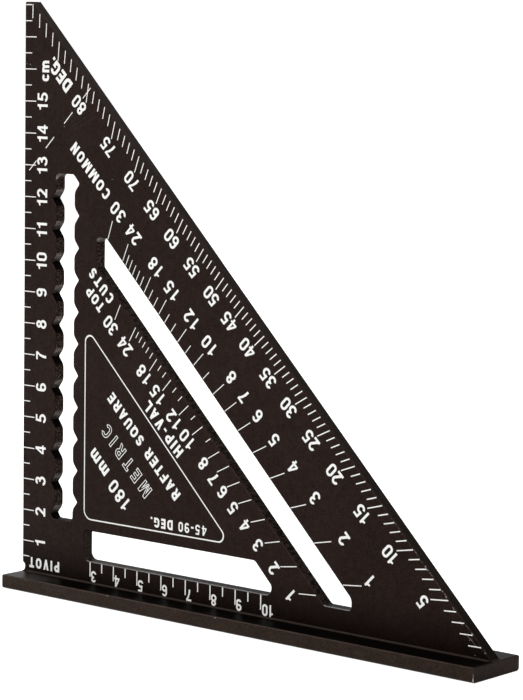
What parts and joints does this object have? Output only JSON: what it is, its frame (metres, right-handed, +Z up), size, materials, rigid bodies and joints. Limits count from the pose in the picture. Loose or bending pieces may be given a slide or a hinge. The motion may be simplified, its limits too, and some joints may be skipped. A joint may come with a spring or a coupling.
{
  "type": "speed square",
  "caption": "Black triangular rafter square with a T-shaped fence, a notched scribing slot, lightening openings and white engraved metric, degree and rafter scales.",
  "frame": {"origin": "pivot corner of the square: the upright edge's line, in the plane of the fence's ledges, on the blade's mid plane", "axes": "+X along the fence away from the pivot, +Z up the upright edge, -Y the way the reading face looks"},
  "size_m": [0.184, 0.022, 0.1853],
  "materials": {
    "blade_anodised": "black anodised, satin, finely brushed",
    "fence_anodised": "black anodised, satin, with extrusion lines",
    "white_fill": "white enamel wiped into engraved marks"
  },
  "bodies": {
    "root": {"blade": "blade_anodised", "fence": "fence_anodised", "edge_cm_ticks": "white_fill", "edge_cm_numerals": "white_fill", "degree_ticks": "white_fill", "degree_numerals": "white_fill", "common_rafter_ticks": "white_fill", "common_rafter_numerals": "white_fill", "hip_valley_ticks": "white_fill", "hip_valley_numerals": "white_fill", "top_cuts_label": "white_fill", "fence_cm_ticks": "white_fill", "fence_cm_numerals": "white_fill", "pivot_label": "white_fill", "layout_line_dashes": "white_fill", "panel_border": "white_fill", "panel_lettering": "white_fill", "back_edge_cm_ticks": "white_fill", "back_edge_cm_numerals": "white_fill", "back_degree_ticks": "white_fill", "back_degree_numerals": "white_fill"}
  },
  "joints": []
}
